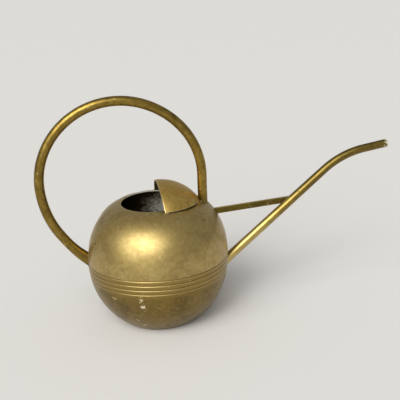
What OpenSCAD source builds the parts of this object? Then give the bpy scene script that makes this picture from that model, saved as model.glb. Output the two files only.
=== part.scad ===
// Long-spouted indoor watering can of sheet brass.
// Two spun half shells are soldered together at a grooved belt. A bent tube makes the round
// handle, a tapered tube the spout, a flat bar braces the spout, and a dished hood covers the
// front half of the mouth.
// Millimetres. +Z is up and +X points along the spout. The origin is the centre of the base.

/* [Body] */
// Largest diameter of the body, at the belt
body_d = 140; // [115:1:170]
// Radius of the gentle upright curve at the belt
belly_r = 105; // [95:1:125]
// Radius of the shoulder curve, between belt and mouth
crown_r = 45.5; // [42:0.5:50]
// Angle at which the belt curve passes into the shoulder
crown_start = 10; // [7:0.5:14]
// Radius of the bowl under the belt
bowl_r = 69.5; // [64:0.5:80]
// Angle at which the belt curve passes into the bowl
bowl_start = 12; // [8:0.5:15]
// Diameter of the flat base
base_d = 75; // [60:1:90]
// Diameter of the mouth
mouth_d = 66; // [52:1:78]
// Thickness of the sheet brass
sheet_t = 1; // [0.7:0.1:1.4]

/* [Seam and rings] */
// Height of the lower shell's edge that laps inside the upper shell
lap_h = 5; // [3:0.5:8]
// Height of the step that sets that edge inwards
joggle_h = 2.5; // [1.5:0.5:4]
// Room for solder in the lap and round the spout, on each side
solder_gap = 0.1; // [0.05:0.05:0.2]
// Number of turned rings, the first of them on the seam
ring_count = 4; // [1:1:5]
// Distance from one ring to the next
ring_pitch = 4.6; // [3:0.1:6]
// Width of a ring
ring_w = 1.4; // [0.8:0.1:2]
// Depth of a ring
ring_deep = 0.45; // [0.2:0.05:0.6]

/* [Handle] */
// Outer diameter of the handle tube
handle_d = 9.5; // [7:0.5:12]
// Wall of the handle tube
handle_wall = 0.9; // [0.6:0.1:1.5]
// Radius of the handle's bend, to the middle of the tube
handle_r = 78; // [65:0.5:95]
// Distance of the upright front leg from the edge of the mouth
handle_land = 15; // [12:0.5:18]
// Height above the belt at which the rear leg meets the body
handle_foot = 0; // [-5:0.5:10]
// Steepness of the straight rear leg
handle_slope = 54; // [45:1:62]

/* [Spout] */
// Outer diameter of the spout at the body
spout_root_d = 9.4; // [8:0.1:12]
// Outer diameter of the spout from its bend to its tip
spout_d = 8.2; // [6:0.1:8.6]
// Wall of the spout
spout_wall = 0.8; // [0.5:0.1:1.2]
// Depth below the belt at which the spout leaves the body
spout_drop = 16; // [10:1:20]
// Rise of the long straight stretch
spout_rise = 39; // [32:1:46]
// Length of the long straight stretch, outside the body
spout_len = 136; // [110:1:165]
// Radius of the bend, to the middle of the tube
spout_bend_r = 85; // [60:1:110]
// Rise of the tip
tip_rise = 8; // [0:0.5:20]
// Length of the straight tip
tip_len = 25; // [22:1:40]
// Length of the spout that stands through the wall, inside the body
spout_inset = 9; // [8:0.5:14]

/* [Brace] */
// Height of the flat bar
brace_h = 6.4; // [4:0.1:8]
// Thickness of the flat bar
brace_t = 2; // [1.5:0.1:3]
// Height above the belt at which the bar meets the body
brace_z = 38; // [30:0.5:45]
// Rise of the bar towards the spout
brace_rise = 3; // [0:0.5:6]

/* [Hood] */
// Distance of the hood's feet outside the mouth
hood_land = 3; // [2:0.1:6]
// Height of the inside of the hood's arch above its feet
hood_rise = 19.5; // [14:0.5:24]
// Distance of the arch in front of the middle of the mouth
hood_x = 5; // [0:0.5:12]
// Lean of the arch towards the handle
hood_lean = 6; // [0:0.5:15]
// Depth to which the tip fits round the handle's front leg
hood_notch = 0.6; // [0.4:0.1:1]

/* [Hidden] */
$fn = 144;
// How far a straight stretch of tube runs over a bend, and how much slimmer the bend is
bend_lap = 1;
bend_fit = 0.05;
// Largest angle from one point of a drawn arc to the next
arc_step = 3;
// How far a cutter runs past the end of what it cuts
cut_past = 1;
far = 2 * body_d;
body_r = body_d / 2;
mouth_r = mouth_d / 2;
base_r = base_d / 2;

// The three arcs of the outer profile, as [radius, height from the belt], each tangent to the next
belly_c = [body_r - belly_r, 0];
crown_c = belly_c + (belly_r - crown_r) * [cos(crown_start), sin(crown_start)];
bowl_c = belly_c + (belly_r - bowl_r) * [cos(bowl_start), -sin(bowl_start)];
belt_z = sqrt(bowl_r * bowl_r - pow(base_r - bowl_c.x, 2)) - bowl_c.y;

// A point on an arc, and points along one without its end
function arc_point(centre, r, a) = centre + r * [cos(a), sin(a)];
function arc(centre, r, from, to) = [
    for (a = [from : arc_step : to - arc_step / 30]) arc_point(centre, r, a)
];

// Points up one side of the wall, at an inset from the outer surface
function bowl(inset) = arc(
    bowl_c,
    bowl_r - inset,
    -asin((belt_z + bowl_c.y - inset) / (bowl_r - inset)),
    -bowl_start
);
function low_belly(inset, top) = arc(belly_c, belly_r - inset, -bowl_start, top);
function high_belly(inset, top) = arc(belly_c, belly_r - inset, 0, top);
function crown(inset, top) = arc(crown_c, crown_r - inset, crown_start, top);

// Angle on the crown at which the mouth cuts it
function mouth_angle(inset) = acos((mouth_r - crown_c.x) / (crown_r - inset));

// Radius of the outer surface at a height from the belt
function surface_r(h) =
    h > belly_r * sin(crown_start) ? crown_c.x + sqrt(crown_r * crown_r - pow(h - crown_c.y, 2))
    : h > -belly_r * sin(bowl_start) ? belly_c.x + sqrt(belly_r * belly_r - h * h)
    : bowl_c.x + sqrt(bowl_r * bowl_r - pow(h - bowl_c.y, 2));

// Height of the shoulder above the belt at a radius. Inside the shoulder curve's centre it is flat.
function shoulder_h(r) = crown_c.y + sqrt(crown_r * crown_r - pow(max(0, r - crown_c.x), 2));

// Handle: centre of the bend, from the front leg's place and the rear leg's foot
handle_x = mouth_r + handle_land;
handle_end = 270 - handle_slope;
foot_x = -surface_r(handle_foot);
bend_x = handle_x - handle_r;
bend_h = handle_foot - (handle_r - (foot_x - bend_x) * cos(handle_end)) / sin(handle_end);

// Spout: places of its root, bend and tip, as [x, height from the belt]
root = [surface_r(-spout_drop), -spout_drop];
along = [cos(spout_rise), sin(spout_rise)];
tip_along = [cos(tip_rise), sin(tip_rise)];
bend_start = root + spout_len * along;
bend_c = bend_start + spout_bend_r * [along.y, -along.x];
bend_end = bend_c + spout_bend_r * [-tip_along.y, tip_along.x];

// Brace: from the body to the middle line of the spout
brace_x = surface_r(brace_z);
brace_slope = tan(brace_rise);
brace_end = (brace_z - root.y + root.x * tan(spout_rise) - brace_x * brace_slope)
    / (tan(spout_rise) - brace_slope);
brace_len = (brace_end - brace_x) / cos(brace_rise);

// Hood: the inside of an arch across the mouth, swept on an arc down to the handle's front leg
hood_foot_r = mouth_r + hood_land;
hood_foot_h = shoulder_h(hood_foot_r);
hood_half_w = sqrt(hood_foot_r * hood_foot_r - hood_x * hood_x);
hood_arch_r = (hood_half_w * hood_half_w + hood_rise * hood_rise) / (2 * hood_rise);
hood_reach = handle_x - handle_d / 2 + hood_notch - hood_x;
hood_ridge_r = (hood_reach * hood_reach + pow(hood_rise + sheet_t, 2)) / (2 * (hood_rise + sheet_t));

// Cutters for the turned rings, in the half section
module ring_cutters() {
    ring_round = (ring_w * ring_w / 4 + ring_deep * ring_deep) / (2 * ring_deep);
    for (i = [0 : ring_count - 1])
        translate([surface_r(-i * ring_pitch) + ring_round - ring_deep, -i * ring_pitch])
            circle(ring_round, $fn = 32);
}

// Solid of the body's outer shape, for what is cut to fit against it
module body_solid() {
    translate([0, 0, belt_z]) rotate_extrude() polygon(concat(
        [[0, -belt_z]],
        bowl(0),
        low_belly(0, 0),
        high_belly(0, crown_start),
        crown(0, 90),
        [crown_c + [0, crown_r], [0, crown_c.y + crown_r]]
    ));
}

// A bend in the upright plane, round the origin, for a tube of the given diameter.
// Its ends run inside the straight stretches, which is why it is a hair slimmer.
module tube_bend(r, d, from, to) {
    rotate([90, 0, 0]) rotate([0, 0, from]) rotate_extrude(angle = to - from)
        translate([r, 0]) circle(d = d - 2 * bend_fit);
}

// The spout's shape with its outer size reduced by the inset on each side
module spout_shape(inset = 0) {
    over = inset > 0 ? cut_past : 0;
    growth = (spout_root_d - spout_d) / spout_len;
    start = spout_inset + over;
    translate([root.x, 0, belt_z + root.y]) rotate([0, 90 - spout_rise, 0])
        translate([0, 0, -start])
            cylinder(
                h = spout_len + start + bend_lap,
                d1 = spout_root_d + growth * start - 2 * inset,
                d2 = spout_d - growth * bend_lap - 2 * inset
            );
    translate([bend_c.x, 0, belt_z + bend_c.y])
        tube_bend(spout_bend_r, spout_d - 2 * inset, 90 + tip_rise, 90 + spout_rise);
    translate([bend_end.x, 0, belt_z + bend_end.y]) rotate([0, 90 - tip_rise, 0])
        translate([0, 0, -bend_lap])
            cylinder(h = tip_len + bend_lap + over, d = spout_d - 2 * inset);
}

// The handle's shape with its outer size reduced by the inset on each side. Both legs start
// inside the body, which trims them.
module handle_shape(inset = 0) {
    d = handle_d - 2 * inset;
    leg = [cos(handle_end), sin(handle_end)];
    leg_len = norm([foot_x - bend_x, handle_foot - bend_h] - handle_r * leg);
    trimmed = 2 * handle_d;
    translate([handle_x, 0, belt_z + crown_c.y])
        cylinder(h = bend_h - crown_c.y + bend_lap, d = d);
    translate([bend_x, 0, belt_z + bend_h]) tube_bend(handle_r, d, 0, handle_end);
    translate([bend_x + handle_r * leg.x, 0, belt_z + bend_h + handle_r * leg.y])
        rotate([0, 90 + handle_slope, 0]) translate([0, 0, -bend_lap])
            cylinder(h = leg_len + trimmed + bend_lap, d = d);
}

// Half section of the upper shell: outside from the seam to the mouth, then back down the inside
module upper_section() {
    outside = concat(high_belly(0, crown_start), crown(0, mouth_angle(0)));
    inside = concat(high_belly(sheet_t, crown_start), crown(sheet_t, mouth_angle(sheet_t)));
    polygon(concat(
        outside,
        [arc_point(crown_c, crown_r, mouth_angle(0))],
        [arc_point(crown_c, crown_r - sheet_t, mouth_angle(sheet_t))],
        [for (i = [len(inside) - 1 : -1 : 0]) inside[i]]
    ));
}

// Half section of the lower shell: outside from the base to the seam, up and down the lap,
// then back down the inside
module lower_section() {
    lap_in = sheet_t + solder_gap;
    lap_top = asin(lap_h / (belly_r - lap_in));
    lap_back = asin(lap_h / (belly_r - lap_in - sheet_t));
    step_back = -asin(joggle_h / (belly_r - sheet_t));
    lap_outside = concat(
        high_belly(lap_in, lap_top),
        [arc_point(belly_c, belly_r - lap_in, lap_top)]
    );
    lap_inside = concat(
        high_belly(lap_in + sheet_t, lap_back),
        [arc_point(belly_c, belly_r - lap_in - sheet_t, lap_back)]
    );
    inside = concat(
        bowl(sheet_t),
        low_belly(sheet_t, step_back),
        [arc_point(belly_c, belly_r - sheet_t, step_back)]
    );
    polygon(concat(
        [[0, -belt_z]],
        bowl(0),
        low_belly(0, 0),
        [[body_r, 0]],
        lap_outside,
        [for (i = [len(lap_inside) - 1 : -1 : 0]) lap_inside[i]],
        [for (i = [len(inside) - 1 : -1 : 0]) inside[i]],
        [[0, sheet_t - belt_z]]
    ));
}

module upper_shell() {
    color("darkkhaki") translate([0, 0, belt_z]) rotate_extrude() difference() {
        upper_section();
        ring_cutters();
    }
}

module lower_shell() {
    color("goldenrod") difference() {
        translate([0, 0, belt_z]) rotate_extrude() difference() {
            lower_section();
            ring_cutters();
        }
        spout_shape(-solder_gap);
    }
}

// Half section of the hood's dome about its long axis: sheet along the arc of the ridge
module hood_section() {
    behind = hood_reach / 2;
    beyond = hood_reach / 10;
    axis_side = hood_arch_r / 4;
    intersection() {
        translate([hood_arch_r + sheet_t - hood_ridge_r, 0]) difference() {
            circle(hood_ridge_r);
            circle(hood_ridge_r - sheet_t);
        }
        translate([axis_side, -behind]) square([hood_arch_r, behind + hood_reach + beyond]);
    }
}

module hood() {
    foot_z = belt_z + hood_foot_h;
    color("khaki") difference() {
        translate([hood_x, 0, foot_z + hood_rise - hood_arch_r]) rotate([0, 90, 0])
            rotate_extrude() hood_section();
        translate([-far / 2, -far / 2, foot_z - far]) cube(far);
        translate([hood_x, 0, foot_z]) rotate([0, -hood_lean, 0])
            translate([-far, -far / 2, -far / 2]) cube(far);
        handle_shape();
    }
}

module handle() {
    color("gold") difference() {
        handle_shape();
        handle_shape(handle_wall);
        body_solid();
    }
}

module spout() {
    color("gold") difference() {
        spout_shape();
        spout_shape(spout_wall);
    }
}

module brace() {
    color("darkgoldenrod") difference() {
        translate([brace_x, 0, belt_z + brace_z]) rotate([0, -brace_rise, 0])
            translate([-brace_h, -brace_t / 2, -brace_h / 2])
                cube([brace_len + brace_h, brace_t, brace_h]);
        body_solid();
        spout_shape();
    }
}

upper_shell();
lower_shell();
hood();
handle();
spout();
brace();
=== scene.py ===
import math

import bmesh
import bpy
import numpy as np
from mathutils import Matrix, Vector


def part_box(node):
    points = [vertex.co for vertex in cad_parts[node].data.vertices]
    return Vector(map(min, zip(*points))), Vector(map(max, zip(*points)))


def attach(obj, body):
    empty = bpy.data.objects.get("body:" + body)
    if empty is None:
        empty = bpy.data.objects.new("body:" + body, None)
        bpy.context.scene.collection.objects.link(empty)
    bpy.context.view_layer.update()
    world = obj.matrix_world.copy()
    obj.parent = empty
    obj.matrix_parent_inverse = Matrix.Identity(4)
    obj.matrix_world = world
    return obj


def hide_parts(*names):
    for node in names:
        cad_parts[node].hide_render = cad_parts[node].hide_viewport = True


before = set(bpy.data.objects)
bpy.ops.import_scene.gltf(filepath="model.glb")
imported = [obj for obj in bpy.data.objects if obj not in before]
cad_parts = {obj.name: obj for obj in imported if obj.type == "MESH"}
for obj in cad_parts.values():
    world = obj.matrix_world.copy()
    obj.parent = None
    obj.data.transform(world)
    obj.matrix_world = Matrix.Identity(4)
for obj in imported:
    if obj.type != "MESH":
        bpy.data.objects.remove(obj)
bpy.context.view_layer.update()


# Upper shell. A half shell spun from sheet brass, with a wide mouth cut in its top. Its lower edge
# slips over the lower shell and is soldered there, in the first of the turned rings.

MM = 0.001
belt_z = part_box("upper_shell")[0][2] / MM
body_r = 70.0
belly_r, crown_r, bowl_r = 105.0, 45.5, 69.5
crown_start, bowl_start = 10.0, 12.0
base_r, mouth_r, sheet_t = 37.5, 33.0, 1.0
ring_count, ring_pitch, ring_w, ring_deep = 4, 4.6, 1.4, 0.42
# How far back the mouth's edge is rounded, along the sheet
rim_bulge = 0.35


def toward(degrees):
    return np.array([math.cos(math.radians(degrees)), math.sin(math.radians(degrees))])


belly_c = np.array([body_r - belly_r, 0.0])
crown_c = belly_c + (belly_r - crown_r) * toward(crown_start)
bowl_c = belly_c + (belly_r - bowl_r) * toward(-bowl_start)


def arc(centre, radius, start, end, step):
    """Points (distance from the axis, height from the belt) along an arc, about step apart."""
    count = max(2, math.ceil(abs(math.radians(end - start)) * radius / step))
    return [centre + radius * toward(a) for a in np.linspace(start, end, count + 1)]


def ring_depth(height):
    """How deep the turned rings are at a height from the belt."""
    depth = 0.0
    for i in range(ring_count):
        off = np.clip(np.abs(height + i * ring_pitch) / (ring_w / 2), 0, 1)
        depth = depth + ring_deep * (0.5 + 0.5 * np.cos(math.pi * off))
    return depth


def with_rings(points):
    return [p - ring_depth(p[1]) * (p - belly_c) / np.linalg.norm(p - belly_c) for p in points]


def edge_curl(centre, radius, angle, bulge, steps=8):
    """The softened edge of a sheet, from its outer face round to its inner one."""
    points = []
    for k in range(1, steps):
        turn = math.pi * k / steps
        r = radius - sheet_t * (1 - math.cos(turn)) / 2
        points.append(centre + r * toward(angle + math.degrees(bulge * math.sin(turn) / radius)))
    return points


def mouth_angle(inset):
    """Where on the crown's arc, or one drawn inside it, the cut of the mouth lies."""
    return math.degrees(math.acos((mouth_r + rim_bulge - crown_c[0]) / (crown_r - inset)))


def node(tree, kind, settings=None, **sockets):
    """Adds a node. A socket, named with _ for each space, takes a value or another's output."""
    made = tree.nodes.new(kind)
    for key, value in (settings or {}).items():
        setattr(made, key, value)
    for key, value in sockets.items():
        socket = made.inputs[int(key[1:])] if key[0] == "_" else made.inputs[key.replace("_", " ")]
        if isinstance(value, bpy.types.NodeSocket):
            tree.links.new(value, socket)
        else:
            socket.default_value = value
    return made


def tree_with(name, kind, inputs, outputs):
    """An empty node group with named sockets, its input node and its output node."""
    tree = bpy.data.node_groups.new(name, kind)
    for in_out, sockets in (("INPUT", inputs), ("OUTPUT", outputs)):
        for label, socket_kind, value in sockets:
            socket = tree.interface.new_socket(name=label, in_out=in_out, socket_type=socket_kind)
            if value is not None:
                socket.default_value = value
    return tree, tree.nodes.new("NodeGroupInput"), tree.nodes.new("NodeGroupOutput")


def turned_sheet_tree():
    """Turns a half section, drawn as (distance from the axis, depth), about the upright axis."""
    tree, given, result = tree_with(
        "turned_sheet",
        "GeometryNodeTree",
        [
            ("Section", "NodeSocketGeometry", None),
            ("Facets", "NodeSocketInt", 240),
            ("Spindle", "NodeSocketFloat", MM),
            ("Finish", "NodeSocketMaterial", None),
        ],
        [("Turned", "NodeSocketGeometry", None)],
    )
    section = node(tree, "GeometryNodeMeshToCurve", Mesh=given.outputs["Section"])
    spindle = node(
        tree,
        "GeometryNodeCurvePrimitiveCircle",
        Resolution=given.outputs["Facets"],
        Radius=given.outputs["Spindle"],
    )
    wall = node(
        tree, "GeometryNodeCurveToMesh", Curve=spindle.outputs[0], Profile_Curve=section.outputs[0]
    )
    joined = node(tree, "GeometryNodeMergeByDistance", Geometry=wall.outputs[0], Distance=1e-6)
    real = node(tree, "GeometryNodeRealizeInstances", Geometry=joined.outputs[0])
    dressed = node(
        tree,
        "GeometryNodeSetMaterial",
        Geometry=real.outputs[0],
        Material=given.outputs["Finish"],
    )
    tree.links.new(dressed.outputs[0], result.inputs[0])
    return tree


def grow(name, tree, points, closed=False, girth=None, **inputs):
    """Feeds a line of points to a geometry tree and keeps what it makes as a plain mesh."""
    line = bpy.data.meshes.new(name + "_line")
    edges = [(i, i + 1) for i in range(len(points) - 1)]
    line.from_pydata([tuple(p) for p in points], edges + [(len(points) - 1, 0)] * closed, [])
    if girth is not None:
        line.attributes.new("girth", "FLOAT", "POINT").data.foreach_set("value", girth)
    piece = bpy.data.objects.new(name, line)
    bpy.context.collection.objects.link(piece)
    modifier = piece.modifiers.new("tree", "NODES")
    modifier.node_group = tree
    for item in tree.interface.items_tree:
        if item.in_out == "INPUT" and item.name in inputs:
            modifier[item.identifier] = inputs[item.name]
    return plain(piece)


def plain(piece):
    """Turns what a piece's modifiers make into its own mesh, with all its faces outwards."""
    graph = bpy.context.evaluated_depsgraph_get()
    made = bpy.data.meshes.new_from_object(piece.evaluated_get(graph), depsgraph=graph)
    piece.modifiers.clear()
    piece.data = made
    made.name = piece.name
    shape = bmesh.new()
    shape.from_mesh(made)
    bmesh.ops.recalc_face_normals(shape, faces=shape.faces)
    shape.to_mesh(made)
    shape.free()
    return piece


def smooth(piece, crease=40.0):
    piece.data.shade_smooth()
    piece.data.set_sharp_from_angle(angle=math.radians(crease))


def corners(piece):
    """The piece's vertices in millimetres, one row each."""
    found = np.empty(len(piece.data.vertices) * 3)
    piece.data.vertices.foreach_get("co", found)
    return found.reshape(-1, 3) / MM


def move_corners(piece, places):
    piece.data.vertices.foreach_set("co", (places * MM).ravel())
    piece.data.update()


def mark(piece, name, values):
    """Stores one number a vertex, for the finish to read."""
    attribute = piece.data.attributes.new(name, "FLOAT", "POINT")
    attribute.data.foreach_set("value", np.asarray(values, dtype=np.float32))


def above_skin(places):
    """Distance of each place from the body's outer face, below 0 inside it."""
    r = np.hypot(places[:, 0], places[:, 1])
    h = places[:, 2] - belt_z
    crown = np.where(
        r < crown_c[0],
        h - crown_c[1] - crown_r,
        np.hypot(r - crown_c[0], h - crown_c[1]) - crown_r,
    )
    belly = np.hypot(r - belly_c[0], h) - belly_r
    bowl = np.hypot(r - bowl_c[0], h - bowl_c[1]) - bowl_r
    low = h < -belly_r * math.sin(math.radians(bowl_start))
    high = h > belly_r * math.sin(math.radians(crown_start))
    return np.where(high, crown, np.where(low, bowl, belly))


# Each dent as (angle about the axis, height from the belt, spread, depth). A bulge is below 0.
dents = [
    (10, 46, 22, -2.3),
    (163, 30, 28, 2.9),
    (166, 22, 20, 1.8),
    (60, 52, 16, -0.9),
    (90, 52, 16, -1.2),
    (118, 52, 16, -0.9),
    (-52, 41, 11, 0.3),
    (-28, 26, 14, 0.4),
    (-118, 20, 15, 0.3),
    (-64, -30, 15, 0.35),
    (-126, -34, 13, 0.3),
    (70, 22, 17, 0.7),
    (128, 14, 12, 0.5),
    (172, 10, 22, 1.3),
    (25, -38, 14, 0.6),
    (165, -26, 12, 0.5),
]

# The height above the base over which the dents fade in, so that the can stands flat
steady_h = 9.0


def knocked_in(places):
    """How far places near the skin are pushed in by dents and uneven spinning."""
    angle = np.arctan2(places[:, 1], places[:, 0])
    height = places[:, 2] - belt_z
    # The waver left by spinning is set in, so that the skin stays inside its box.
    waver = 0.05 * np.sin(3 * angle + 1.3) * np.cos(height / 19)
    depth = 0.1 + waver + 0.03 * np.sin(7 * angle + height / 9)
    for turn, rise, spread, deepest in dents:
        away = toward(turn) * skin_radius(rise)
        off = np.linalg.norm(places - [away[0], away[1], belt_z + rise], axis=1) / spread
        depth += deepest * np.exp(-2.2 * off**2)
    return depth * np.clip((height + belt_z) / steady_h, 0, 1)


def knock_about(piece):
    """Gives a shell its dents and bulges."""
    places = corners(piece)
    outward = places - np.array([0, 0, belt_z])
    outward /= np.maximum(np.linalg.norm(outward, axis=1, keepdims=True), 1e-6)
    move_corners(piece, places - outward * knocked_in(places)[:, None])


def skin_radius(height):
    """Distance of the outer face from the axis at a height from the belt."""
    if height > belly_r * math.sin(math.radians(crown_start)):
        return crown_c[0] + math.sqrt(max(crown_r**2 - (height - crown_c[1]) ** 2, 0))
    if height > -belly_r * math.sin(math.radians(bowl_start)):
        return belly_c[0] + math.sqrt(belly_r**2 - height**2)
    return bowl_c[0] + math.sqrt(bowl_r**2 - (height - bowl_c[1]) ** 2)


def tone(code):
    """A colour written as six hexadecimal digits, as linear light."""
    parts = [int(code[i : i + 2], 16) / 255 for i in (0, 2, 4)]
    return (*[p / 12.92 if p < 0.04045 else ((p + 0.055) / 1.055) ** 2.4 for p in parts], 1.0)


def tarnish_tree():
    """Where old brass has browned, mottled, pitted and been rubbed."""
    tree, given, result = tree_with(
        "tarnish",
        "ShaderNodeTree",
        [
            ("Vector", "NodeSocketVector", None),
            ("Patches", "NodeSocketFloat", 45.0),
            ("Spots", "NodeSocketFloat", 360.0),
        ],
        [
            (label, "NodeSocketFloat", None)
            for label in ("Brown", "Mottle", "Pits", "Dust", "Stains", "Rub", "Height")
        ],
    )
    here = given.outputs["Vector"]

    def noise(scale, detail=4.0, rough=0.6, twist=0.0, vector=here):
        return node(
            tree,
            "ShaderNodeTexNoise",
            Vector=vector,
            Scale=scale,
            Detail=detail,
            Roughness=rough,
            Distortion=twist,
        ).outputs["Fac"]

    def step(value, low, high, bottom=0.0, top=1.0):
        return node(
            tree,
            "ShaderNodeMapRange",
            {"interpolation_type": "SMOOTHSTEP"},
            Value=value,
            From_Min=low,
            From_Max=high,
            To_Min=bottom,
            To_Max=top,
        ).outputs["Result"]

    def times(a, b):
        return node(tree, "ShaderNodeMath", {"operation": "MULTIPLY"}, _0=a, _1=b).outputs[0]

    def plus(a, b):
        return node(tree, "ShaderNodeMath", {"operation": "ADD"}, _0=a, _1=b).outputs[0]

    brown = step(noise(given.outputs["Patches"], 6, 0.66, 0.9), 0.42, 0.70)
    mottle = step(noise(260, 6, 0.72, 0.4), 0.34, 0.68)
    cluster = step(noise(34, 3, 0.6), 0.36, 0.66, 0.3, 1.0)
    pits = times(step(noise(given.outputs["Spots"], 3, 0.65), 0.62, 0.68), cluster)
    dust = times(step(noise(470, 2, 0.6), 0.645, 0.70), step(noise(48, 3, 0.6), 0.42, 0.62))
    stains = times(step(noise(130, 6, 0.72, 1.6), 0.56, 0.70), step(noise(26, 2, 0.5), 0.46, 0.62))
    # Rubbing leaves fine level lines, so this noise is drawn out round the can.
    level = node(tree, "ShaderNodeMapping", Vector=here, Scale=(60.0, 60.0, 2600.0))
    rub = step(noise(1, 3, 0.7, vector=level.outputs["Vector"]), 0.3, 0.75)
    height = plus(times(rub, 0.08), times(mottle, 0.22))
    height = plus(height, times(dust, 0.3))
    height = node(
        tree, "ShaderNodeMath", {"operation": "SUBTRACT"}, _0=height, _1=times(pits, 0.8)
    ).outputs[0]
    for label, socket in (
        ("Brown", brown),
        ("Mottle", mottle),
        ("Pits", pits),
        ("Dust", dust),
        ("Stains", stains),
        ("Rub", rub),
        ("Height", height),
    ):
        tree.links.new(socket, result.inputs[label])
    return tree


def lime_tree():
    """Crusts of dried hard water round one place, broken up into specks."""
    tree, given, result = tree_with(
        "lime",
        "ShaderNodeTree",
        [
            ("Vector", "NodeSocketVector", None),
            ("Place", "NodeSocketVector", None),
            ("Stretch", "NodeSocketVector", (1.0, 1.0, 1.0)),
            ("Reach", "NodeSocketFloat", 0.01),
            ("Grain", "NodeSocketFloat", 500.0),
            ("Cover", "NodeSocketFloat", 0.5),
        ],
        [("Crust", "NodeSocketFloat", None)],
    )
    off = node(
        tree,
        "ShaderNodeVectorMath",
        {"operation": "SUBTRACT"},
        _0=given.outputs["Vector"],
        _1=given.outputs["Place"],
    )
    scaled = node(
        tree,
        "ShaderNodeVectorMath",
        {"operation": "DIVIDE"},
        _0=off.outputs[0],
        _1=given.outputs["Stretch"],
    )
    away = node(tree, "ShaderNodeVectorMath", {"operation": "LENGTH"}, _0=scaled.outputs[0])
    near = node(
        tree,
        "ShaderNodeMapRange",
        Value=away.outputs["Value"],
        From_Min=0.0,
        From_Max=given.outputs["Reach"],
        To_Min=1.0,
        To_Max=0.0,
    )
    grain = node(
        tree,
        "ShaderNodeTexNoise",
        Vector=given.outputs["Vector"],
        Scale=given.outputs["Grain"],
        Detail=4.0,
        Roughness=0.7,
    )
    cover = node(
        tree,
        "ShaderNodeMath",
        {"operation": "MULTIPLY"},
        _0=near.outputs[0],
        _1=given.outputs["Cover"],
    )
    raised = node(
        tree, "ShaderNodeMath", {"operation": "ADD"}, _0=cover.outputs[0], _1=grain.outputs["Fac"]
    )
    crust = node(
        tree,
        "ShaderNodeMapRange",
        {"interpolation_type": "SMOOTHSTEP"},
        Value=raised.outputs[0],
        From_Min=0.78,
        From_Max=0.92,
    )
    tree.links.new(crust.outputs["Result"], result.inputs["Crust"])
    return tree


tarnish = tarnish_tree()
lime = lime_tree()


def blend(tree, mask, under, over, kind="FLOAT"):
    """The first value, and the second where the mask is 1."""
    mix = node(tree, "ShaderNodeMix", {"data_type": kind})
    sockets = [s for s in mix.inputs if s.enabled]
    for socket, value in zip(sockets, (mask, under, over)):
        if isinstance(value, bpy.types.NodeSocket):
            tree.links.new(value, socket)
        else:
            socket.default_value = value
    return [s for s in mix.outputs if s.enabled][0]


class Finish:
    """A metal finish built up in coats. Each coat covers the last where its mask is 1."""

    def __init__(self, name, colour, roughness):
        self.material = bpy.data.materials.new(name)
        self.material.use_nodes = True
        self.tree = self.material.node_tree
        self.here = node(self.tree, "ShaderNodeTexCoord").outputs["Object"]
        self.colour, self.roughness, self.metal, self.height = tone(colour), roughness, 1.0, 0.0

    def coat(self, mask, colour=None, roughness=None, metal=None, height=None, strength=1.0):
        if strength != 1.0:
            mask = self.maths("MULTIPLY", mask, strength)
        if colour is not None:
            self.colour = blend(self.tree, mask, self.colour, tone(colour), "RGBA")
        if roughness is not None:
            self.roughness = blend(self.tree, mask, self.roughness, roughness)
        if metal is not None:
            self.metal = blend(self.tree, mask, self.metal, metal)
        if height is not None:
            self.height = self.maths("MULTIPLY_ADD", mask, height, self.height)

    def maths(self, operation, *values):
        sockets = {f"_{i}": v for i, v in enumerate(values)}
        return node(self.tree, "ShaderNodeMath", {"operation": operation}, **sockets).outputs[0]

    def stored(self, name):
        return node(self.tree, "ShaderNodeAttribute", {"attribute_name": name}).outputs["Fac"]

    def group(self, tree, **sockets):
        return node(
            self.tree, "ShaderNodeGroup", {"node_tree": tree}, Vector=self.here, **sockets
        ).outputs

    def done(self, bump=0.35, coat=0.12):
        shader = self.tree.nodes["Principled BSDF"]
        shader.inputs["Coat Weight"].default_value = coat
        shader.inputs["Coat Roughness"].default_value = 0.22
        raised = node(self.tree, "ShaderNodeBump", Strength=bump, Distance=0.1 * MM)
        for value, socket in (
            (self.colour, shader.inputs["Base Color"]),
            (self.roughness, shader.inputs["Roughness"]),
            (self.metal, shader.inputs["Metallic"]),
            (self.height, raised.inputs["Height"]),
            (raised.outputs["Normal"], shader.inputs["Normal"]),
        ):
            if isinstance(value, bpy.types.NodeSocket):
                self.tree.links.new(value, socket)
            else:
                socket.default_value = value
        return self.material


def old_brass(name, light, mid, brown, dark, roughness=0.42, patches=45.0, browned=0.6):
    """Brass with its tarnish, pits, dust and rubbed lines on it, ready for more coats."""
    finish = Finish(name, mid, roughness)
    wear = finish.group(tarnish, Patches=patches)
    finish.coat(wear["Mottle"], light, roughness - 0.03, strength=0.5)
    finish.coat(wear["Brown"], brown, roughness + 0.09, strength=browned)
    finish.coat(wear["Stains"], dark, roughness + 0.14, strength=0.6)
    finish.coat(wear["Rub"], roughness=roughness + 0.06, strength=0.5)
    finish.coat(wear["Pits"], dark, roughness + 0.2, 0.8, strength=0.65)
    finish.coat(wear["Dust"], "e6daae", 0.6, 0.4, strength=0.5)
    finish.height = wear["Height"]
    return finish


def limed(
    finish, place, reach, cover, stretch=(1, 1, 1), colour="cfc8b2", grain=500.0, within=None
):
    """Adds a crust of lime at a place in millimetres, kept within a stored mark if one is named."""
    crust = finish.group(
        lime,
        Place=[c * MM for c in place],
        Reach=reach * MM,
        Cover=cover,
        Stretch=stretch,
        Grain=grain,
    )["Crust"]
    if within:
        crust = finish.maths("MULTIPLY", crust, finish.stored(within))
    finish.coat(crust, colour, 0.75, 0.15, 0.5)


# Where the tubes and the bar were soldered on, and how far the heat browned the brass
joints = [(47, 0, 109), (61, 0, 100), (66, 0, 46), (-68, 0, 63)]
heat_reach = 30.0


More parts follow.
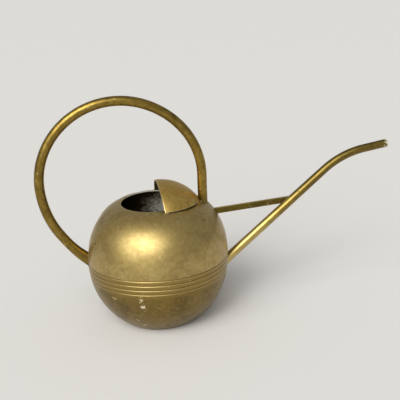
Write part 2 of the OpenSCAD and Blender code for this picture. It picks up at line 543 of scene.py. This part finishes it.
def peak(values, middle, reach):
    """1 at the middle value, falling to 0 at reach from it."""
    return np.clip(1 - np.abs(values - middle) / reach, 0, 1)


def mark_wear_and_painted_light(piece):
    """Stores where a shell's rings, cut edge, inner face and heat stains from soldering are, and
    the marks for the painted shade and painted highlights on the rings, the cut edge and the band
    under the belt.
    """
    places = corners(piece)
    height = places[:, 2] - belt_z
    # The inner face begins a little past the middle of the sheet.
    under = -above_skin(places)
    inside = np.clip((under - 0.62 * sheet_t) / 0.3, 0, 1)
    mark(piece, "inside", inside)
    groove, edge, heat = np.zeros((3, len(places)))
    # Each ring: painted shade along the groove, set towards its upper wall, over the tarnish there,
    # and a painted highlight on the lip below it
    for i in range(ring_count):
        over = height + i * ring_pitch
        groove = np.maximum(groove, peak(over, 0.15, 0.75))
        edge = np.maximum(edge, peak(over, -0.75, 0.42))
    mark(piece, "ring", groove * (1 - inside))
    mark(piece, "ring_lip_highlight", edge * (1 - inside))
    for joint in joints:
        off = np.linalg.norm(places - joint, axis=1)
        heat = np.maximum(heat, np.exp(-((off / heat_reach) ** 2)))
    mark(piece, "heat", heat * (1 - inside))
    # The band under the belt, where the lower shell's painted shade fades out
    belt = np.clip((height + ring_count * ring_pitch + 1) / 6, 0, 1)
    mark(piece, "belt", belt * (1 - inside))
    # The mouth's rounded edge, for a painted highlight
    rim = np.hypot(places[:, 0], places[:, 1]) - mouth_r
    mark(piece, "rim", np.where(height > crown_c[1], np.clip(1 - rim / 1.1, 0, 1), 0))


# The arcs are drawn in fine steps within a degree of the first ring, and in wider ones above it.
upper_section = with_rings(
    arc(belly_c, belly_r, 0, 1, 0.12) + arc(belly_c, belly_r, 1.5, crown_start, 1.2)
)
upper_section += arc(crown_c, crown_r, crown_start, mouth_angle(0), 1.0)[1:]
upper_section += edge_curl(crown_c, crown_r, mouth_angle(0), rim_bulge)
upper_section += arc(crown_c, crown_r - sheet_t, mouth_angle(sheet_t), crown_start, 1.4)
upper_section += arc(belly_c, belly_r - sheet_t, crown_start, 0, 1.4)[1:]

turned_sheet = turned_sheet_tree()


def turn(name, section, closed, finish):
    """Turns a shell from its half section, which is drawn from a thin spindle outwards."""
    spindle = 1.0
    line = [((r - spindle) * MM, -(h + belt_z) * MM, 0) for r, h in section]
    return grow(name, turned_sheet, line, closed, Facets=240, Spindle=spindle * MM, Finish=finish)


upper_finish = old_brass("upper_brass_aged_painted_light", "c4ae74", "a89155", "7e6636", "43321a", browned=0.42)
upper_finish.coat(upper_finish.stored("heat"), "764e20", 0.46, strength=0.62)
# Painted shade in each groove, over its tarnish, and a painted highlight on the lip below
upper_finish.coat(upper_finish.stored("ring"), "4b3819", 0.5, strength=0.6)
upper_finish.coat(upper_finish.stored("ring_lip_highlight"), "d8c48c", 0.3, strength=0.6)
upper_finish.coat(upper_finish.stored("inside"), "463b29", 0.6, 0.45, strength=0.9)
limed(upper_finish, (11, 60, 95), 34, 0.72, colour="aaa188", grain=170, within="inside")
limed(upper_finish, (13, 60, 94), 32, 0.5, colour="fff9ea", grain=330, within="inside")
# Painted highlight along the mouth's rounded edge
upper_finish.coat(upper_finish.stored("rim"), "d9c692", 0.3, strength=0.6)
limed(upper_finish, (-6, 34, 119), 40, 0.75, (1.4, 0.6, 1), "b3b0a2", within="rim")
# Brown stains beside the hood, broken up in the way that lime is
for place, reach, cover in (
    ((38.7, -31.5, 113), 9, 0.41),
    ((41, -37, 109.5), 8, 0.45),
    ((40, -46, 102), 13, 0.31),
    ((55, -14, 103), 15, 0.31),
    ((62, -22, 82), 20, 0.25),
):
    limed(upper_finish, place, reach, cover, (1, 1, 1.2), "5f481c", 420)
limed(upper_finish, (14, -64, 72), 46, 0.21, (1.2, 1, 0.35), "e2d3a4", 430)
upper_shell = turn("upper_shell_skin", upper_section, True, upper_finish.done(coat=0.3))
mark_wear_and_painted_light(upper_shell)
knock_about(upper_shell)
smooth(upper_shell)
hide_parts("upper_shell")
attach(upper_shell, "root")


# Lower shell. The other spun half, with the rest of the turned rings, a flat base to stand on and
# a stepped-in edge that laps inside the upper shell. The spout stands through a hole in its side.

lap_h, joggle_h, solder_gap, base_round = 5.0, 2.5, 0.1, 1.6
spout_root_d, spout_drop, spout_rise, spout_inset = 9.4, 16.0, 39.0, 9.0

# Where the bowl's arc meets the base, outside and inside the rounded corner, in degrees
base_angle = math.degrees(math.asin((belt_z + bowl_c[1]) / bowl_r))
round_top, round_in = -base_angle + 1.6, -base_angle + 1.2
# Radii at which the flat base is divided, outside and inside
base_rows, floor_rows = (0, 9, 18, 27), (28, 18, 9, 0)
lower_section = [np.array([r, -belt_z]) for r in (*base_rows, base_r - base_round)]
round_start, round_end = lower_section[-1], bowl_c + bowl_r * toward(round_top)
round_corner = np.array([base_r, -belt_z])
for part in (0.25, 0.5, 0.75):
    left = 1 - part
    lower_section.append(
        left**2 * round_start + 2 * part * left * round_corner + part**2 * round_end
    )
lower_section += arc(bowl_c, bowl_r, round_top, -bowl_start, 1.3)
# The other rings lie within 9.3 degrees under the belt, and are drawn in fine steps.
lower_section += with_rings(
    arc(belly_c, belly_r, -bowl_start, -9.5, 1.0)[1:] + arc(belly_c, belly_r, -9.3, 0, 0.16)
)
lap_in = sheet_t + solder_gap
lap_top = math.degrees(math.asin(lap_h / (belly_r - lap_in)))
step_back = -math.degrees(math.asin(joggle_h / (belly_r - sheet_t)))
lower_section += arc(belly_c, belly_r - lap_in, 0, lap_top, 0.8)
lower_section += arc(belly_c, belly_r - lap_in - sheet_t, lap_top, 0, 0.8)
lower_section += arc(belly_c, belly_r - sheet_t, step_back, -bowl_start, 1.4)
lower_section += arc(bowl_c, bowl_r - sheet_t, -bowl_start, round_in, 1.6)[1:]
lower_section += [np.array([r, sheet_t - belt_z]) for r in floor_rows]

# Painted shade: the lower shell's colours are darker and browner than the upper shell's, so the can
# is darker towards the bottom.
lower_finish = old_brass(
    "lower_brass_aged_painted_shade", "988042", "78632d", "58451c", "392a14", roughness=0.45, patches=38.0
)
# The band under the belt is painted lighter, so the painted shade fades into the upper shell's
# tone.
lower_finish.coat(lower_finish.stored("belt"), "a18746", 0.42, strength=0.6)
lower_finish.coat(lower_finish.stored("heat"), "5c3d1a", 0.5, strength=0.5)
# Painted shade in each groove, over its tarnish, and a painted highlight on the lip below
lower_finish.coat(lower_finish.stored("ring"), "4b3819", 0.5, strength=0.6)
lower_finish.coat(lower_finish.stored("ring_lip_highlight"), "d8c48c", 0.3, strength=0.6)
lower_finish.coat(lower_finish.stored("inside"), "463b29", 0.6, 0.45, strength=0.9)
limed(lower_finish, (-26, -63, 46.5), 6.5, 0.42, (0.7, 1, 1.6), "d8c79a")
limed(lower_finish, (-24.6, -61.4, 38.5), 5.5, 0.44, (0.9, 1, 1.2), "e6dcc0")
limed(lower_finish, (-29, -50, 20), 5, 0.42, (1.2, 1, 0.8), "d8c79a")
limed(lower_finish, (-22.7, -46.5, 12.3), 5, 0.42, colour="d8c79a")
limed(lower_finish, (-48.8, -47.2, 45), 7, 0.38, (1.3, 1, 0.8), "c9b680")
limed(lower_finish, (0, 0, 0), 46, 0.22, (1, 1, 0.3), "c9b680")
lower_shell = turn("lower_shell_skin", lower_section, False, lower_finish.done(coat=0.3))


def cylinder(name, start, direction, length, radius, sides=64):
    """A plain cylinder along a line, in millimetres, for cutting with."""
    direction = Vector(direction).normalized()
    shape = bmesh.new()
    bmesh.ops.create_cone(
        shape,
        cap_ends=True,
        segments=sides,
        radius1=radius * MM,
        radius2=radius * MM,
        depth=length * MM,
        matrix=Matrix.Translation((Vector(start) + direction * length / 2) * MM)
        @ direction.to_track_quat("Z", "Y").to_matrix().to_4x4(),
    )
    data = bpy.data.meshes.new(name)
    shape.to_mesh(data)
    shape.free()
    made = bpy.data.objects.new(name, data)
    bpy.context.collection.objects.link(made)
    return made


def in_side_view(x, z):
    """A place, or a direction, in the can's upright middle plane."""
    return np.array([x, 0.0, z])


spout_root = in_side_view(skin_radius(-spout_drop), belt_z - spout_drop)
spout_way = in_side_view(*toward(spout_rise))
drill = cylinder(
    "spout_drill",
    spout_root - spout_way * (spout_inset + 1),
    spout_way,
    2 * spout_inset,
    spout_root_d / 2 + solder_gap,
)
hole = lower_shell.modifiers.new("spout_hole", "BOOLEAN")
hole.operation, hole.solver, hole.object = "DIFFERENCE", "EXACT", drill
plain(lower_shell)
bpy.data.objects.remove(drill)
mark_wear_and_painted_light(lower_shell)
knock_about(lower_shell)
smooth(lower_shell)
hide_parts("lower_shell")
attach(lower_shell, "root")


# Handle. One round brass tube bent into three quarters of a hoop. Its upright front leg stands on
# the shoulder, its straight rear leg meets the belt, and both are coped to the body and soldered.

handle_d, handle_wall, handle_r = 9.5, 0.9, 78.0
handle_land, handle_foot, handle_slope = 15.0, 0.0, 54.0
handle_x = mouth_r + handle_land
handle_end = 270 - handle_slope
foot = np.array([-skin_radius(handle_foot), handle_foot])
hoop_x = handle_x - handle_r
end_x, end_z = toward(handle_end)
hoop_h = handle_foot - (handle_r - (foot[0] - hoop_x) * end_x) / end_z


def tube_tree():
    """Sweeps a round tube along a line, as thick at each point as the line's own girth says."""
    tree, given, result = tree_with(
        "tube",
        "GeometryNodeTree",
        [
            ("Path", "NodeSocketGeometry", None),
            ("Sides", "NodeSocketInt", 48),
            ("Ends", "NodeSocketBool", False),
            ("Finish", "NodeSocketMaterial", None),
        ],
        [("Tube", "NodeSocketGeometry", None)],
    )
    path = node(tree, "GeometryNodeMeshToCurve", Mesh=given.outputs["Path"])
    ring = node(
        tree, "GeometryNodeCurvePrimitiveCircle", Resolution=given.outputs["Sides"], Radius=1.0
    )
    girth = node(tree, "GeometryNodeInputNamedAttribute", {"data_type": "FLOAT"}, Name="girth")
    swept = node(
        tree,
        "GeometryNodeCurveToMesh",
        Curve=path.outputs[0],
        Profile_Curve=ring.outputs[0],
        Scale=girth.outputs["Attribute"],
        Fill_Caps=given.outputs["Ends"],
    )
    real = node(tree, "GeometryNodeRealizeInstances", Geometry=swept.outputs[0])
    dressed = node(
        tree,
        "GeometryNodeSetMaterial",
        Geometry=real.outputs[0],
        Material=given.outputs["Finish"],
    )
    tree.links.new(dressed.outputs[0], result.inputs[0])
    return tree


tube = tube_tree()


def spaced(start, end, gap):
    """Points from start to end, about gap apart, without the last."""
    start, end = np.array(start, float), np.array(end, float)
    count = max(1, round(np.linalg.norm(end - start) / gap))
    return [start + (end - start) * i / count for i in range(count)]


def walled(piece, wall, edge=0.22):
    """Gives a swept tube its wall, inwards, and breaks the edges of its ends."""
    thick = piece.modifiers.new("wall", "SOLIDIFY")
    thick.thickness, thick.offset, thick.use_even_offset = wall * MM, -1, True
    soft = piece.modifiers.new("edge", "BEVEL")
    soft.width, soft.segments, soft.limit_method = edge * MM, 2, "ANGLE"
    soft.angle_limit = math.radians(50)
    plain(piece)


def coped_length(offsets, start, way, longest, gap, halvings=30):
    """How far along way, from each offset about start, the gap to a surface closes."""
    low, high = np.zeros(len(offsets)), np.full(len(offsets), float(longest))
    for _ in range(halvings):
        middle = (low + high) / 2
        free = gap(start + offsets + way * middle[:, None]) > 0
        low, high = np.where(free, middle, low), np.where(free, high, middle)
    return low


def cope(piece, start, way, length, gap, longest, leg_r=8.0):
    """Shapes one leg of a piece, all that is within leg_r of its line, to sit on a surface."""
    places = corners(piece)
    along = (places - start) @ way
    aside = np.linalg.norm(places - start - along[:, None] * way, axis=1)
    beyond = (along > 0) & (aside < leg_r)
    offsets = places[beyond] - start - along[beyond, None] * way
    reach = coped_length(offsets, start, way, longest, gap)
    places[beyond] = start + offsets + way * (along[beyond] * reach / length)[:, None]
    move_corners(piece, places)


def above_worn_skin(places):
    return above_skin(places) + knocked_in(places)


def seated(places, sink=0.55):
    """Gap to a face a little inside the body's skin, so that a joint closes."""
    return above_worn_skin(places) + sink


front_top = in_side_view(handle_x, belt_z + hoop_h)
hoop_c = in_side_view(hoop_x, belt_z + hoop_h)
rear_top = hoop_c + handle_r * in_side_view(end_x, end_z)
rear_foot = in_side_view(foot[0], belt_z + foot[1])
rear_way = in_side_view(*toward(-handle_slope))
front_way = in_side_view(0.0, -1.0)
# The legs before coping, how far coping looks for the body, and the step between sections
front_len, rear_len = 66.0, 40.0
front_longest, rear_longest = 90.0, 70.0
tube_step, hoop_steps = 2.0, 140
# How much slimmer the tube is drawn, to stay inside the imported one
tube_ease = 0.06
handle_line = spaced(front_top + front_way * front_len, front_top, tube_step)
for a in np.linspace(0, handle_end, hoop_steps):
    handle_line.append(hoop_c + handle_r * in_side_view(*toward(a)))
handle_line += spaced(rear_top, rear_top + rear_way * rear_len, tube_step)[1:]
handle_line.append(rear_top + rear_way * rear_len)

# Where the hand-bent tube strays from its hoop and rear leg, as (turn, spread, distance out)
strays = [
    (5, 20, 0.25),
    (57, 28, -0.8),
    (130, 45, 0.4),
    (190, 16, -0.65),
    (225, 14, 1.1),
    (250, 12, -3.4),
]


def hand_bent(place):
    """Moves a place on the tube's line to where the tube really runs."""
    off = place - hoop_c
    turn = math.degrees(math.atan2(off[2], off[0])) % 360
    turn -= 360 if turn > 300 else 0
    stray = sum(out * math.exp(-(((turn - at) / spread) ** 2)) for at, spread, out in strays)
    return place + off / np.linalg.norm(off) * stray


handle_finish = old_brass(
    "handle_brass_aged", "aa9148", "866e2d", "5e4b1e", "33270f", 0.34, 60.0, 0.7
)
handle_finish.coat(handle_finish.stored("heat"), "a25a2c", 0.4, strength=0.6)
handle = grow(
    "handle_tube",
    tube,
    [hand_bent(p) * MM for p in handle_line],
    girth=[(handle_d / 2 - tube_ease) * MM] * len(handle_line),
    Sides=48,
    Ends=False,
    Finish=handle_finish.done(),
)
walled(handle, handle_wall)
cope(handle, front_top, front_way, front_len, seated, front_longest)
cope(handle, rear_top, rear_way, rear_len, seated, rear_longest)
copper_reach = 13.0
off_foot = np.linalg.norm(corners(handle) - rear_foot, axis=1)
mark(handle, "heat", np.exp(-((off_foot / copper_reach) ** 2)))
smooth(handle)
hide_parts("handle")
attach(handle, "root")


# Spout. A thin brass tube that narrows towards its tip, bent once to pour level. Its root stands
# through the lower shell and is soldered round; its end is cut square and left open.

spout_d, spout_wall, spout_len = 8.2, 0.8, 136.0
spout_bend_r, tip_rise, tip_len = 85.0, 8.0, 25.0
bend_steps = 26
tip_way = in_side_view(*toward(tip_rise))
bend_from = spout_root + spout_len * spout_way
bend_c = bend_from + spout_bend_r * in_side_view(spout_way[2], -spout_way[0])
bend_to = bend_c + spout_bend_r * in_side_view(-tip_way[2], tip_way[0])
tip_end = bend_to + tip_way * tip_len
spout_line = spaced(spout_root - spout_way * spout_inset, bend_from, tube_step)
for a in np.linspace(90 + spout_rise, 90 + tip_rise, bend_steps)[:-1]:
    spout_line.append(bend_c + spout_bend_r * in_side_view(*toward(a)))
spout_line += spaced(bend_to, tip_end, tube_step)
spout_line.append(tip_end)


def spout_radius(run):
    """The tube's outer radius at a part, 0 to 1, of its straight length."""
    return (spout_root_d + (spout_d - spout_root_d) * np.clip(run, -0.1, 1)) / 2


def spout_part(places):
    """Which part of the straight length lies beside each place."""
    return (places - spout_root) @ spout_way / spout_len


spout_finish = old_brass(
    "spout_brass_aged_painted_reflection", "c4ad62", "9f8842", "72602e", "362a12", 0.34, 60.0, 0.7
)
# Painted reflection: the lower part of the spout brighter, as a long highlight of the lamp along
# it; higher up it is darker
spout_finish.coat(spout_finish.stored("low"), "dcc684", 0.32, strength=0.5)
spout_finish.coat(spout_finish.stored("high"), "5a4819", 0.4, strength=0.75)
limed(spout_finish, tip_end, 9, 0.66, colour="d6cfbb")
spout = grow(
    "spout_tube",
    tube,
    [p * MM for p in spout_line],
    girth=list(spout_radius(spout_part(np.array(spout_line))) * MM),
    Sides=48,
    Ends=False,
    Finish=spout_finish.done(),
)
walled(spout, spout_wall)
# The lower half is painted brighter, a painted reflection of the lamp running along the tube; from
# a third of the way up it is coloured darker.
run = spout_part(corners(spout))
mark(spout, "low", np.clip(1 - run / 0.55, 0, 1))
mark(spout, "high", np.clip(run / 0.5 - 0.7, 0, 1))
smooth(spout)
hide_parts("spout")
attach(spout, "root")


# Brace. A length of flat brass bar set on edge, soldered to the shoulder at one end and to the
# side of the spout at the other, to hold the spout.

brace_h, brace_t, brace_z, brace_rise, brace_edge = 6.4, 2.0, 38.0, 3.0, 0.45
brace_rows = 60
brace_start = in_side_view(skin_radius(brace_z), belt_z + brace_z)
brace_way = in_side_view(*toward(brace_rise))
brace_up = in_side_view(-brace_way[2], brace_way[0])
brace_side = np.array([0.0, 1.0, 0.0])


def crossed(one, other):
    return one[0] * other[2] - one[2] * other[0]


# The bar ends where its line crosses the spout's.
brace_len = crossed(spout_root - brace_start, spout_way) / crossed(brace_way, spout_way)


def bar_outline():
    """Places round the bar's section, with its corners rounded and its sides in four parts."""
    rounded = []
    for side, up, start in ((1, 1, 0), (-1, 1, 90), (-1, -1, 180), (1, -1, 270)):
        for a in (0, 30, 60, 90):
            y, z = brace_edge * toward(start + a)
            y += side * (brace_t / 2 - brace_edge)
            z += up * (brace_h / 2 - brace_edge)
            rounded.append(brace_side * y + brace_up * z)
    points = []
    for k, place in enumerate(rounded):
        points.append(place)
        if k % 4 == 3:
            ahead = rounded[(k + 1) % len(rounded)]
            points += [place + (ahead - place) * part for part in (0.25, 0.5, 0.75)]
    return np.array(points)


outline = bar_outline()
bar = bmesh.new()
loops = []
for along in np.linspace(0, brace_len, brace_rows):
    middle = brace_start + brace_way * along
    loops.append([bar.verts.new((middle + o) * MM) for o in outline])
for one, other in zip(loops, loops[1:]):
    for i in range(len(outline)):
        j = (i + 1) % len(outline)
        bar.faces.new((one[i], one[j], other[j], other[i]))
bar.faces.new(loops[0][::-1])
bar.faces.new(loops[-1])
bmesh.ops.recalc_face_normals(bar, faces=bar.faces)
brace = bpy.data.objects.new("brace_bar", bpy.data.meshes.new("brace_bar"))
bar.to_mesh(brace.data)
bar.free()
bpy.context.collection.objects.link(brace)


def above_spout(places):
    """Distance of each place from the outer face of the spout's straight length."""
    off = places - spout_root
    aside = off - (off @ spout_way)[:, None] * spout_way
    return np.linalg.norm(aside, axis=1) - spout_radius(spout_part(places))


def seated_on_spout(places, sink=0.3):
    """Gap to a face a little inside the spout."""
    return above_spout(places) + sink


brace_middle = brace_start + brace_way * brace_len / 2
cope(brace, brace_middle, brace_way, brace_len / 2, seated_on_spout, brace_len)
cope(brace, brace_middle, -brace_way, brace_len / 2, seated, brace_len)

brace_finish = old_brass(
    "brace_brass_aged_painted_highlight", "77682b", "5f4f1a", "473713", "2a200b", 0.38, 70.0, 0.7
)
brace_reach = (corners(brace) - brace_start) @ brace_up
# A painted highlight along the bar's long edges, top and bottom
mark(brace, "worn_and_highlit_edge", np.clip((np.abs(brace_reach) - brace_h / 2 + 0.5) / 0.4, 0, 1))
brace_finish.coat(brace_finish.stored("worn_and_highlit_edge"), "d3bd7a", 0.32, strength=0.65)
brace.data.materials.append(brace_finish.done())
smooth(brace)
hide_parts("brace")
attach(brace, "root")


# Hood. A dished piece of sheet brass over the front half of the mouth, which keeps water from
# spilling as the can is tipped. Its two feet and its tip are soldered; the rest stands clear.

hood_land, hood_rise, hood_x, hood_lean, hood_notch = 3.0, 19.5, 5.0, 6.0, 0.6
hood_foot_r = mouth_r + hood_land
hood_foot_z = belt_z + crown_c[1] + math.sqrt(crown_r**2 - (hood_foot_r - crown_c[0]) ** 2)
hood_half_w = math.sqrt(hood_foot_r**2 - hood_x**2)
hood_arch_r = (hood_half_w**2 + hood_rise**2) / (2 * hood_rise)
hood_reach = handle_x - handle_d / 2 + hood_notch - hood_x
hood_ridge_r = (hood_reach**2 + (hood_rise + sheet_t) ** 2) / (2 * (hood_rise + sheet_t))
hood_axis_z = hood_foot_z + hood_rise - hood_arch_r
# The hood's faces each way, how closely the rows crowd towards the tip, and the tries that settle
# where a place lies on the leaning dish
hood_rows, hood_columns, tip_crowding, hood_tries = 56, 88, 1.6, 6
lean_back = math.tan(math.radians(hood_lean))


def hood_radius(x):
    """The outer face's distance from the hood's level axis, at a distance from the arch."""
    reached = np.minimum(x, hood_reach)
    return hood_arch_r + sheet_t - hood_ridge_r + np.sqrt(hood_ridge_r**2 - reached**2)


def hood_place(across, along):
    """A place on the outer face: across from -1 to 1 foot to foot, along 0 to 1 arch to tip."""
    level = hood_reach * (1 - (1 - along) ** tip_crowding)
    x = level
    for _ in range(hood_tries):
        radius = hood_radius(x)
        turn = across * math.acos(min(1.0, (hood_foot_z - hood_axis_z) / radius))
        z = hood_axis_z + radius * math.cos(turn)
        x = level - (1 - along) * lean_back * (z - hood_foot_z)
    return np.array([hood_x + x, radius * math.sin(turn), z])


dish = bmesh.new()
rows = []
for i in range(hood_rows):
    along = i / hood_rows
    row = [dish.verts.new(hood_place(a, along) * MM) for a in np.linspace(-1, 1, hood_columns + 1)]
    rows.append(row)
tip = dish.verts.new(hood_place(0, 1) * MM)
for one, other in zip(rows, rows[1:]):
    for j in range(hood_columns):
        dish.faces.new((one[j], one[j + 1], other[j + 1], other[j]))
for j in range(hood_columns):
    dish.faces.new((rows[-1][j], rows[-1][j + 1], tip))
bmesh.ops.recalc_face_normals(dish, faces=dish.faces)
if sum(f.normal.z for f in dish.faces) < 0:
    bmesh.ops.reverse_faces(dish, faces=dish.faces)
hood = bpy.data.objects.new("hood_dish", bpy.data.meshes.new("hood_dish"))
dish.to_mesh(hood.data)
dish.free()
bpy.context.collection.objects.link(hood)

hood_finish = old_brass("hood_brass_aged_painted_light", "d6b869", "c3a254", "a98a45", "6a5026", 0.4, 40.0, 0.4)
fan = node(
    hood_finish.tree,
    "ShaderNodeCombineXYZ",
    X=hood_finish.stored("fan"),
    Y=hood_finish.stored("off_tip"),
)
rays = node(
    hood_finish.tree,
    "ShaderNodeTexNoise",
    Vector=fan.outputs[0],
    Scale=1.0,
    Detail=4.0,
    Roughness=0.65,
)
rays = node(
    hood_finish.tree,
    "ShaderNodeMapRange",
    {"interpolation_type": "SMOOTHSTEP"},
    Value=rays.outputs["Fac"],
    From_Min=0.5,
    From_Max=0.66,
)
rays = hood_finish.maths("MULTIPLY", rays.outputs["Result"], hood_finish.stored("near_tip"))
# Streaks of old polish near the tip, painted brighter as a reflection of the handle's leg too
hood_finish.coat(rays, "f0dc94", 0.34, strength=0.6)
hood_grime = hood_finish.group(tarnish, Patches=170.0)["Brown"]
hood_grime = hood_finish.maths("MULTIPLY", hood_grime, hood_finish.stored("grime"))
hood_finish.coat(hood_grime, "6a5226", 0.5, strength=0.7)
# Wear and a painted highlight along the arch's edge and the feet
hood_finish.coat(hood_finish.stored("worn_and_highlit_edge"), "e4d3a0", 0.34, strength=0.6)
hood_finish.coat(hood_finish.stored("under"), "4a3c26", 0.6, 0.6, strength=0.85)
hood.data.materials.append(hood_finish.done())

thick = hood.modifiers.new("sheet", "SOLIDIFY")
thick.thickness, thick.offset = sheet_t * MM, -1
soft = hood.modifiers.new("edge", "BEVEL")
soft.width, soft.segments, soft.limit_method = 0.28 * MM, 2, "ANGLE"
soft.angle_limit = math.radians(50)
plain(hood)
# The tip is notched round the handle's front leg, and the feet are cut level.
places = corners(hood)
leg_gap = 0.05
leg_clear = handle_d / 2 + leg_gap
off_leg = np.hypot(places[:, 0] - handle_x, places[:, 1]) < leg_clear
places[off_leg, 0] = handle_x - np.sqrt(leg_clear**2 - places[off_leg, 1] ** 2)
places[:, 2] = np.maximum(places[:, 2], hood_foot_z)
move_corners(hood, places)

# Marks for the finish: the bright edges of the arch and the feet, worn and with a painted
# highlight, then the brown inner face
radial = np.hypot(places[:, 1], places[:, 2] - hood_axis_z)
below_face = hood_radius(places[:, 0] - hood_x) - radial
low_off = places[:, 2] - hood_foot_z
arch_off = places[:, 0] - hood_x + lean_back * low_off
mark(hood, "worn_and_highlit_edge", np.clip(1 - np.minimum(arch_off, low_off * 1.3) / 0.7, 0, 1))
mark(hood, "under", np.clip((below_face - 0.55) / 0.3, 0, 1))
# The streaks of the old polish, painted brighter in part as a reflection of the handle's leg, fan
# out from just past the tip.
ray_fineness, ray_length = 16, 22
off_tip = np.array([hood_x + hood_reach + 1, 0]) - places[:, :2]
tip_gap = np.hypot(off_tip[:, 0], off_tip[:, 1])
mark(hood, "fan", np.arctan2(off_tip[:, 1], off_tip[:, 0]) * ray_fineness)
mark(hood, "off_tip", tip_gap / ray_length)
mark(hood, "near_tip", np.clip(1.25 - tip_gap / 27, 0, 1))
mark(hood, "grime", np.clip(1.1 - low_off / 7, 0, 1))
smooth(hood)
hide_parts("hood")
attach(hood, "root")


# Solder. Thin fillets of soft solder, gone dull and brown, where each tube, the bar and the
# hood's feet meet the body and where the bar meets the spout.


def round_offsets(way, radius, count=40):
    """Offsets round a line in the middle plane, at right angles to it."""
    other = np.cross(way, brace_side)
    turns = np.linspace(0, 2 * math.pi, count, endpoint=False)
    return radius * (np.cos(turns)[:, None] * brace_side + np.sin(turns)[:, None] * other)


def bead(name, start, way, offsets, gap, longest, thickness, closed=True):
    """A fillet round the foot of a tube or bar, or a short run of solder with thin ends."""
    reach = coped_length(offsets, start, way, longest, gap)
    line = start + offsets + way * reach[:, None]
    rng = np.random.default_rng(len(name) * 7 + 3)
    ripple = np.convolve(np.tile(rng.random(len(line)), 3), np.ones(5) / 5, "same")
    ripple = ripple[len(line) : 2 * len(line)]
    girth = thickness * (0.6 + 0.8 * ripple) * MM
    if not closed:
        girth *= 0.25 + 0.75 * np.sin(np.linspace(0, math.pi, len(line)))
    return grow(
        name,
        tube,
        [p * MM for p in line],
        closed=closed,
        girth=list(girth),
        Sides=10,
        Ends=not closed,
        Finish=solder_finish,
    )


solder = Finish("old_solder", "77694c", 0.5)
spots = solder.group(tarnish, Patches=150.0, Spots=900.0)
solder.coat(spots["Brown"], "4a3b22", 0.6, strength=0.9)
solder.coat(spots["Mottle"], "9a8b66", 0.45, strength=0.5)
solder.height = spots["Height"]
solder_finish = solder.done(0.6, 0.0)

skin = above_worn_skin
front_ring = round_offsets(front_way, handle_d / 2)
rear_ring = round_offsets(rear_way, handle_d / 2)
root_ring = round_offsets(spout_way, spout_root_d / 2 - 0.05)
# The bent rear leg lands beside its straight line, and so does its bead.
rear_start = rear_top + hand_bent(rear_foot) - rear_foot
root_start = spout_root + spout_way * 25
# A bead is found by looking from a start, along a way, for the surface that it lies on.
beads = [
    bead("solder_handle_front", front_top, front_way, front_ring, skin, front_longest, 0.55),
    bead("solder_handle_rear", rear_start, rear_way, rear_ring, skin, rear_longest, 0.55),
    bead("solder_spout_root", root_start, -spout_way, root_ring, skin, 60, 0.5),
    bead("solder_brace_body", brace_middle, -brace_way, outline, skin, brace_len, 0.35),
    bead("solder_brace_spout", brace_middle, brace_way, outline, above_spout, brace_len, 0.3),
]
# The hood's feet are soldered along their outer edge only, from the arch a little way forward.
over_body, down = in_side_view(0, belt_z + 80.0), in_side_view(0, -1.0)
for side, end in ((-1, "near"), (1, "far")):
    foot_run = np.array([hood_place(side, a) for a in np.linspace(-0.02, 0.07, 24)])
    foot_run *= [1, 1.022, 0]
    beads.append(
        bead("solder_hood_" + end, over_body, down, foot_run, skin, 90, 1.25, closed=False)
    )
for piece in beads:
    smooth(piece)
    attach(piece, "root")


# Studio: a pale floor, a pale surround and soft lamps, which aren't part of the can.

floor_paint = bpy.data.materials.new("floor_paint")
floor_paint.use_nodes = True
floor_paint.node_tree.nodes["Principled BSDF"].inputs["Base Color"].default_value = tone("dcdad6")
floor_paint.node_tree.nodes["Principled BSDF"].inputs["Roughness"].default_value = 0.9
floor_mesh = bpy.data.meshes.new("floor")
half = 60.0
floor_corners = [(-half, -half, 0), (half, -half, 0), (half, half, 0), (-half, half, 0)]
floor_mesh.from_pydata(floor_corners, [], [(0, 1, 2, 3)])
floor = bpy.data.objects.new("floor", floor_mesh)
floor_mesh.materials.append(floor_paint)
bpy.context.collection.objects.link(floor)

world = bpy.data.worlds.new("surround")
bpy.context.scene.world = world
world.use_nodes = True
surround = world.node_tree.nodes["Background"]
surround.inputs["Color"].default_value = tone("f4f3f1")
surround.inputs["Strength"].default_value = 0.42


def lamp(name, way, spread, power):
    """A far lamp, seen from the can along way and spread degrees wide."""
    data = bpy.data.lights.new(name, "SUN")
    data.angle, data.energy = math.radians(spread), power
    made = bpy.data.objects.new(name, data)
    made.location = way
    made.rotation_mode = "QUATERNION"
    made.rotation_quaternion = (-Vector(way)).to_track_quat("-Z", "Y")
    bpy.context.collection.objects.link(made)


lamp("softbox", (-0.44, -0.62, 0.57), 58, 2.65)
lamp("key", (-0.40, -0.60, 0.60), 18, 0.72)

# The camera stands at a distance in millimetres from the middle of the belt, and its angles are in
# degrees. It is turned from that middle by the two aims.
azimuth, elevation, roll, distance = -6.62, 22.27, -3.89, 719.0
aim_aside, aim_up = -3.357, 4.214
level, rise = toward(elevation)
ahead, aside = toward(azimuth)
back = Vector((aside * level, -ahead * level, rise))
camera_data = bpy.data.cameras.new("camera")
camera_data.sensor_width, camera_data.lens = 36.0, 64.35
camera_data.clip_start, camera_data.clip_end = 0.05, 200.0
camera = bpy.data.objects.new("camera", camera_data)
camera.rotation_mode = "QUATERNION"
camera.location = Vector((0, 0, belt_z * MM)) + back * distance * MM
camera.rotation_quaternion = (
    (-back).to_track_quat("-Z", "Y").to_matrix()
    @ Matrix.Rotation(math.radians(roll), 3, "Z")
    @ Matrix.Rotation(math.radians(aim_up), 3, "X")
    @ Matrix.Rotation(math.radians(aim_aside), 3, "Y")
).to_quaternion()
bpy.context.collection.objects.link(camera)
bpy.context.scene.camera = camera
bpy.context.scene.view_settings.view_transform = "Standard"
